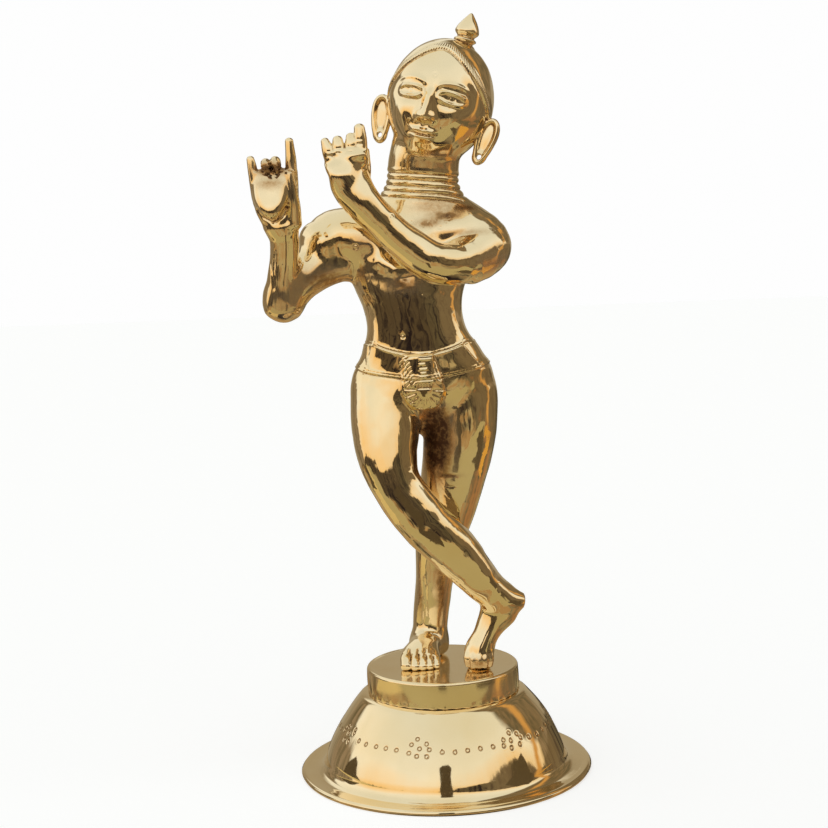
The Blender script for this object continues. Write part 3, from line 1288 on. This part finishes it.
MAT_COLOUR = (0.66, 0.58, 0.33)
FLOOR_COLOUR = (0.48, 0.51, 0.57)
FLOOR_GLOW = 0.64
UMBER = (0.13, 0.10, 0.06)
# Cards that stand or lie round the foot for it to reflect: [colour, corners]
CARDS = [
    [UMBER, [(-0.024, -0.25, 0.0), (0.024, -0.25, 0.0), (0.020, -0.25, 0.10), (0.024, -0.25, 0.135),
             (0.012, -0.25, 0.15), (-0.014, -0.25, 0.15), (-0.026, -0.25, 0.138), (-0.020, -0.25, 0.09)]],
    [UMBER, [(-0.36, -0.06, 0.0), (-0.33, 0.09, 0.0), (-0.34, 0.07, 0.05), (-0.345, 0.03, 0.10),
             (-0.35, 0.0, 0.085), (-0.355, -0.03, 0.04)]],
    [UMBER, [(0.20, -0.20, 0.0), (0.27, -0.05, 0.0), (0.262, -0.07, 0.10), (0.25, -0.10, 0.085),
             (0.235, -0.13, 0.09), (0.22, -0.16, 0.04)]],
    [(1.0, 0.55, 0.12), [(0.27, -0.03, 0.001), (0.55, -0.06, 0.001), (0.55, 0.16, 0.001),
                         (0.27, 0.08, 0.001)]],
    [(0.95, 0.78, 0.40), [(-0.65, -0.105, 0.001), (-0.16, -0.105, 0.001), (-0.16, 0.06, 0.001),
                          (-0.65, 0.14, 0.001)]],
]


def skyline(bench, where, compass, posts):
    """Height over the dark band's ragged top, as a sine: the band climbs to the right and drops behind."""
    x, y, z = bench.axes(where)
    top = bench.math("ADD", bench.range(x, -0.3, 0.75, -0.10, 0.25), bench.math("MULTIPLY", posts, 0.06))
    top = bench.math("ADD", top, bench.math("MULTIPLY", bench.noise(compass, 9.0, 6, 0.75), 0.13))
    top = bench.math("SUBTRACT", top, bench.range(y, -0.25, 0.15, 0.0, 0.26))
    return bench.math("SUBTRACT", z, top)


def bright_sky(bench, where, compass, posts, above):
    """The cloth sky over its glow, with the walls and the parasol that stand before it behind the figure."""
    x, y, z = bench.axes(where)
    clouds = bench.noise(where, 1.6, 3, 0.55)
    warmth = bench.range(x, -0.8, 0.5, 0.46, 0.22)
    sky = bench.blend(bench.math("DIVIDE", bench.math("MAXIMUM", above, 0.0), warmth, clamp=True), GLOW, SKY)
    sky = bench.blend(bench.math("MULTIPLY", bench.range(clouds, 0.4, 0.65), 0.4), sky, SKY_HIGH)
    sky = bench.blend(bench.range(z, 0.35, 0.85), sky, SKY_HIGH)
    wall = bench.math("SUBTRACT", bench.range(y, 0.1, 0.6, 0.0, 0.62), bench.noise(compass, 3.0, 4))
    wall = bench.math("SUBTRACT", bench.math("ADD", wall, 0.35), z)
    wall_tone = bench.blend(bench.range(posts, 0.42, 0.6), WALL, DARK_RIGHT)
    wall_tone = bench.blend(bench.range(y, 0.75, 0.95), wall_tone, FAR_WALL)
    sky = bench.blend(bench.range(wall, -0.06, 0.06), sky, wall_tone)
    near = bench.math("ADD", bench.along(where, PARASOL_WAY), bench.math("MULTIPLY", clouds, 0.06))
    parasol = bench.blend(bench.range(posts, 0.4, 0.6), PARASOL, DARK_RIGHT)
    return bench.blend(bench.range(near, 0.85, 0.885), sky, parasol)


def dark_band(bench, where, posts):
    """The dark band round the horizon, with posts in it, browner to the right."""
    x = bench.axes(where)[0]
    dark = bench.blend(bench.range(x, 0.1, 0.5), DARK, DARK_RIGHT)
    dark = bench.blend(bench.range(posts, 0.46, 0.6), dark, DARK_DEEP)
    return bench.blend(bench.range(x, 0.5, 0.75, 0, 0.55), dark, PARASOL)


def draped(bench, where):
    """How much of the amber drape is in each direction: a slack band square to its way, at the right."""
    slack = bench.range(bench.noise(where, 2.2, 4, 0.6), 0.3, 0.7, -0.09, 0.09)
    way = bench.math("ADD", bench.along(where, DRAPE_WAY), slack)
    drape = bench.range(bench.math("ABSOLUTE", way), 0.03, 0.12, 1, 0)
    return bench.math("MULTIPLY", drape, bench.range(bench.axes(where)[0], 0.4, 0.55))


def tan_ground(bench, where):
    """The ground in patches of tan, rust to the right and dark straight below."""
    x, y, z = bench.axes(where)
    patches = bench.noise(bench.stretched(where, (1.6, 1.6, 5)), 1.5, 5, 0.65)
    ground = bench.blend(bench.range(patches, 0.45, 0.53), TAN_WARM, TAN)
    ground = bench.blend(bench.range(patches, 0.56, 0.62), ground, DARK)
    rust = bench.blend(bench.range(patches, 0.45, 0.55), RUST, DARK_RIGHT)
    ground = bench.blend(bench.range(x, 0.45, 0.75), ground, rust)
    return bench.blend(bench.range(z, -0.93, -0.8, 1, 0), ground, DARK_DEEP)


def light_studio():
    """Lights the set from the world. The sine of the height above the horizon, against the ragged skyline,
    picks the ground, the dark band or the sky. The camera itself sees a plain pale backdrop."""
    world = bpy.data.worlds.new("studio")
    bpy.context.scene.world = world
    world.use_nodes = True
    tree = world.node_tree
    bench = Bench(tree)
    where = bench.add("ShaderNodeTexCoord")
    x, y, z = bench.axes(where)
    level = bench.add("ShaderNodeCombineXYZ", {"X": x, "Y": y})
    compass = bench.add("ShaderNodeVectorMath", {0: level}, operation="NORMALIZE")
    posts = bench.noise(bench.stretched(where, (13, 13, 2)), 1.4, 4, 0.6)
    above = skyline(bench, where, compass, posts)
    sky = bright_sky(bench, where, compass, posts, above)
    light = bench.blend(bench.range(above, -0.012, 0.012), dark_band(bench, where, posts), sky)
    light = bench.blend(draped(bench, where), light, DRAPE)
    edge = bench.range(bench.noise(compass, 7.0, 5, 0.7), 0.3, 0.7, -0.42, -0.16)
    over = bench.range(bench.math("SUBTRACT", z, edge), -0.03, 0.03)
    light = bench.blend(over, tan_ground(bench, where), light)
    light = bench.blend(bench.add("ShaderNodeLightPath"), light, BACKDROP)
    background = tree.nodes["Background"]
    tree.links.new(light, background.inputs["Color"])
    background.inputs["Strength"].default_value = 1.0


def sheet(name, corners, colour, glow=0.0):
    """A flat matt sheet of the set."""
    card = bpy.data.objects.new(name, bpy.data.meshes.new(name))
    card.data.from_pydata(corners, [], [range(len(corners))])
    bpy.context.scene.collection.objects.link(card)
    paint = bpy.data.materials.new(name + "_paint")
    paint.use_nodes = True
    shader = paint.node_tree.nodes["Principled BSDF"]
    shader.inputs["Base Color"].default_value = (*colour, 1)
    shader.inputs["Roughness"].default_value = 1
    shader.inputs["Specular IOR Level"].default_value = 0
    shader.inputs["Emission Color"].default_value = (1, 1, 1, 1)
    shader.inputs["Emission Strength"].default_value = glow
    card.data.materials.append(paint)
    return card


def level_corners(low, high, height):
    """The corners of a level rectangle."""
    return [(*low, height), (high[0], low[1], height), (*high, height), (low[0], high[1], height)]


def lay_floor():
    """Lays the pale floor, which the camera sees and the brass doesn't, and the mat and the cards, which
    only the brass sees."""
    floor = sheet("floor", level_corners((-8, -8), (8, 8), 0), FLOOR_COLOUR, FLOOR_GLOW)
    floor.visible_glossy = False
    cards = [sheet("mat", level_corners(*MAT, 0.0005), MAT_COLOUR)]
    cards += [sheet("card_%d" % at, corners, colour) for at, (colour, corners) in enumerate(CARDS)]
    for card in cards:
        card.visible_camera = card.visible_diffuse = card.visible_shadow = False


def plain_view():
    """Shows the colours as they are lit, with no film look."""
    view = bpy.context.scene.view_settings
    view.view_transform = "Standard"
    view.look = "None"


# Domed foot and drum, in millimetres: the CAD's own sizes
FLANGE_RADIUS = (dome_high[0] - dome_low[0]) / 2 / MM
DRUM_RADIUS = (drum_high[0] - drum_low[0]) / 2 / MM
DRUM_HEIGHT = (drum_high[2] - drum_low[2]) / MM
DOME_HEIGHT = (dome_high[2] - dome_low[2]) / MM
DOME_WALL = 2.6
DOME_CROWN = DRUM_RADIUS + 2.6
DOME_FOOT = DOME_CROWN + 20
DOME_BULGE = 4.2
FLANGE_THICK = 2.4
FLANGE_FILLET = 6.0
DRUM_EDGE = 1.5
FOOT_COLUMNS = 850
DRUM_COLUMNS = 720

# Rings punched round the flank, in millimetres: one ring, the rosettes of petals round a middle, and the
# single rings between them. Heights run up the flank, and lengths round it are at the row's radius.
STAMP_RADIUS = 0.95
STAMP_CUT = 0.27
STAMP_DEPTH = 0.3
STAMP_BURR = 0.07
ROW_RADIUS = 53.6
ROSETTES = 7
ROSETTE_AT = math.radians(-13.8)
ROSETTE_UP = 18.5
PETALS = 7
PETAL_REACH = 4.2
PETAL_SPREAD = 1.35
SINGLES = 5
SINGLES_UP = 17.2
SINGLES_APART = 0.129


def arc(centre, radius, start, stop, count):
    """Points of a circular arc, by its angles in degrees."""
    angle = np.radians(np.linspace(start, stop, count))
    return np.stack([centre[0] + radius * np.cos(angle), centre[1] + radius * np.sin(angle)], 1)


def bow(start, middle, end, count):
    """Points of a quadratic curve drawn to its middle point."""
    t = np.linspace(0, 1, count)[:, None]
    start, middle, end = (np.array(point, float) for point in (start, middle, end))
    return start * (1 - t) ** 2 + 2 * middle * t * (1 - t) + end * t**2


def paced(outline, gaps):
    """The outline with its points moved to even gaps, and the length along it to each. Each [length, gap]
    sets the gap from there on."""
    length = lengths(outline)
    marks = [0.0]
    while marks[-1] < length[-1]:
        marks.append(marks[-1] + [gap for start, gap in gaps if start <= marks[-1]][-1])
    marks = np.array(marks[:-1] + [length[-1]])
    return np.stack([np.interp(marks, length, outline[:, i]) for i in (0, 1)], 1), marks


def full_turn(columns):
    """Even angles once round, as one row. The seam is behind."""
    return np.linspace(-np.pi, np.pi, columns, endpoint=False)[None, :]


def turned_grid(rows, angle, push):
    """A profile swept round the axis on a grid, its points then pushed along the profile's own normal. The
    profile's two ends are the poles."""
    slope = np.gradient(rows, axis=0)
    normal = np.stack([slope[:, 1], -slope[:, 0]], 1)
    normal /= np.linalg.norm(normal, axis=1, keepdims=True)
    ring = slice(1, -1)
    radius = rows[ring, :1] + normal[ring, :1] * push[ring]
    height = rows[ring, 1:] + normal[ring, 1:] * push[ring]
    points = np.stack([radius * np.sin(angle), -radius * np.cos(angle), height], -1).reshape(-1, 3)
    points = np.vstack([points, [0, 0, rows[0, 1]], [0, 0, rows[-1, 1]]])
    count, columns = len(rows) - 2, angle.size
    return (points, *wound(count, columns, poles=(count * columns, count * columns + 1)))


def wavy(angle, rows, length, seed):
    """Slow unevenness round a turned piece: a few waves whose count round the piece is whole."""
    draw = np.random.default_rng(seed)
    total = np.zeros((len(rows), angle.size), np.float32)
    for count in range(1, 9):
        phase, drift = draw.uniform(0, 2 * np.pi), draw.normal() / length
        total += np.sin(count * angle + phase + drift * rows[:, None]) / count
    return total


def foot_profile():
    """The foot's profile of [radius, height]: the even wall inside, the flange, its fillet, the bowed flank
    and the rounded shoulder. With it come the length along it to each point, and the length to where the
    flank begins."""
    foot = (DOME_FOOT, FLANGE_THICK + FLANGE_FILLET)
    crown = (DOME_CROWN, DOME_HEIGHT)
    chord = np.array(crown) - foot
    outward = np.array([chord[1], -chord[0]]) / np.linalg.norm(chord)
    control = (np.array(foot) + crown) / 2 + outward * DOME_BULGE
    flank = bow(foot, control, crown, 60)[:-3]
    shoulder = bow(flank[-1], (DOME_CROWN - 0.3, DOME_HEIGHT + 0.1), (DOME_CROWN - 3.2, DOME_HEIGHT), 10)[1:]
    step = np.gradient(flank, axis=0)
    inward = np.stack([-step[:, 1], step[:, 0]], 1) / np.linalg.norm(step, axis=1, keepdims=True)
    inner = (flank + inward * DOME_WALL)[::-1]
    inner = inner[inner[:, 1] < DOME_HEIGHT - DOME_WALL]
    rim = FLANGE_RADIUS - FLANGE_THICK / 2
    below = np.vstack(
        [
            [(0, DOME_HEIGHT - DOME_WALL)],
            [(inner[0, 0] - 2, DOME_HEIGHT - DOME_WALL)],
            inner,
            [(DOME_FOOT - DOME_WALL, 0.6), (DOME_FOOT - DOME_WALL + 0.6, 0)],
            arc((rim, FLANGE_THICK / 2), FLANGE_THICK / 2, -90, 80, 12),
            [(rim - 1.0, FLANGE_THICK + 0.1), (rim - 2.4, FLANGE_THICK - 0.1)],
            bow((DOME_FOOT + FLANGE_FILLET, FLANGE_THICK), (DOME_FOOT + 0.4, FLANGE_THICK), foot, 12),
        ]
    )
    outline = np.vstack([below, flank[1:], shoulder, [(0, DOME_HEIGHT)]])
    length = lengths(outline)
    flank_at = length[len(below)]
    gaps = [
        (0.0, 8.0),
        (length[1] - 1, 4.0),
        (flank_at - 45, 4.0),
        (flank_at - 31, 0.9),
        (flank_at - 20, 1.5),
        (flank_at + 5.5, 0.42),
        (flank_at + 24.5, 1.2),
        (length[-1] - DOME_CROWN - 1, 0.8),
        (length[-1] - DOME_CROWN + 5, 6.0),
    ]
    return (*paced(outline, gaps), flank_at)


def ring_centres():
    """Middles of the punched rings, as [length round, length up the flank]. Each is struck a little off its
    place."""
    draw = np.random.default_rng(7)
    pitch = 2 * np.pi / ROSETTES
    centres = []
    for rosette in range(ROSETTES):
        at = wrapped(ROSETTE_AT + rosette * pitch)
        middle = at * ROW_RADIUS
        centres.append((middle + draw.normal() * 0.3, ROSETTE_UP + draw.normal() * 0.4))
        for petal in range(PETALS):
            turn = petal * 2 * np.pi / PETALS + draw.normal() * 0.2
            reach = PETAL_REACH + draw.normal() * 0.6
            centres.append((middle + reach * PETAL_SPREAD * np.cos(turn), ROSETTE_UP + reach * np.sin(turn)))
        for single in range(SINGLES):
            between = wrapped(at + pitch * (0.5 + (single - (SINGLES - 1) / 2) * SINGLES_APART))
            centres.append((between * ROW_RADIUS + draw.normal() * 0.3, SINGLES_UP + draw.normal() * 0.35))
    return centres


def stamped(run, up):
    """Depth of the punched rings: each is a round groove about its middle, deepest at the stamp's radius,
    with a slight burr outside."""
    depth = np.zeros(run.shape, np.float32)
    for x, y in ring_centres():
        near = (np.abs(run - x) < 2.5) & (np.abs(up - y) < 2.5)
        away = np.hypot(run[near] - x, up[near] - y)
        depth[near] += STAMP_DEPTH * hill(away - STAMP_RADIUS, STAMP_CUT)
        depth[near] -= STAMP_BURR * hill(away - 1.55, 0.3)
    return depth


def domed_foot():
    """The foot's profile turned on a grid, with the rings punched in, slow waves over the outside and a bent
    rim. Last comes how much dirt each point holds, from the depth of the rings."""
    rows, marks, flank_at = foot_profile()
    band = (marks - flank_at)[:, None]
    angle = full_turn(FOOT_COLUMNS)
    depth = stamped(angle * ROW_RADIUS + 0 * band, band + 0 * angle)
    outside = ramp((band + 24) / 4)
    rim = ramp((band + 14) / 6) * ramp((-4 - band) / 5)
    waves = 0.16 * wavy(angle, marks, 14, 3) * outside + 0.3 * wavy(angle, 0 * marks, 14, 21) * rim
    points, quads, tris = turned_grid(rows, angle, waves - depth)
    return points, quads, tris, ramp(np.append(depth[1:-1], (0, 0)) / 0.35)


def plinth_drum():
    """A low drum with a rolled upper edge, a slightly bellied side and a filed lower edge that dips
    unevenly."""
    belly = (DRUM_RADIUS + 0.3, DRUM_HEIGHT / 2)
    outline = np.vstack(
        [
            [(0, 0.1), (DRUM_RADIUS - 6, 0.1), (DRUM_RADIUS - 1.4, -0.1)],
            arc((DRUM_RADIUS - 0.45, 0.2), 0.45, -80, 0, 6),
            bow((DRUM_RADIUS, 1.2), belly, (DRUM_RADIUS, DRUM_HEIGHT - 1.8), 14),
            arc((DRUM_RADIUS - DRUM_EDGE, DRUM_HEIGHT - DRUM_EDGE), DRUM_EDGE, 6, 88, 10),
            [(DRUM_RADIUS - 1.6, DRUM_HEIGHT - 0.02), (DRUM_RADIUS - 2.8, DRUM_HEIGHT - 0.14)],
            [(DRUM_RADIUS - 6, DRUM_HEIGHT - 0.16), (0, DRUM_HEIGHT - 0.1)],
        ]
    )
    rows, marks = paced(outline, [(0, 6.0), (DRUM_RADIUS - 6, 0.35), (DRUM_RADIUS + 26, 3.0)])
    angle = full_turn(DRUM_COLUMNS)
    low = ramp((3 - rows[:, 1:]) / 3)
    side = ramp((rows[:, :1] - DRUM_RADIUS + 3) / 2)
    filed = np.sin(angle * 23 + 2 * np.sin(angle * 3)) * 0.5 + np.sin(angle * 41 + 1.3)
    return turned_grid(rows, angle, (0.14 * wavy(angle, marks, 9, 5) + 0.13 * low * filed) * side)


set_camera()
light_studio()
lay_floor()
plain_view()

points, quads, tris = skin(carve_figure())
mesh = thinned(mesh_of("figure_casting", to_metres(points), quads, tris), FIGURE_TRIANGLES)
note_hollows(mesh)
note_strokes(mesh)
brass = polished_brass("figure_brass", dirty=True, combed=True)
new_piece("figure_casting", mesh, brass, "figure")

points, quads, tris, dirt = domed_foot()
mesh = mesh_of("domed_foot", to_metres(points, dome_low[2]), quads, tris)
note(mesh, "grime", dirt)
new_piece("domed_foot", mesh, polished_brass("base_brass", dirty=True), "dome_base")

points, quads, tris = plinth_drum()
mesh = mesh_of("drum", to_metres(points, drum_low[2]), quads, tris)
new_piece("drum", mesh, polished_brass("plinth_brass", dull=0.07), "plinth_drum")
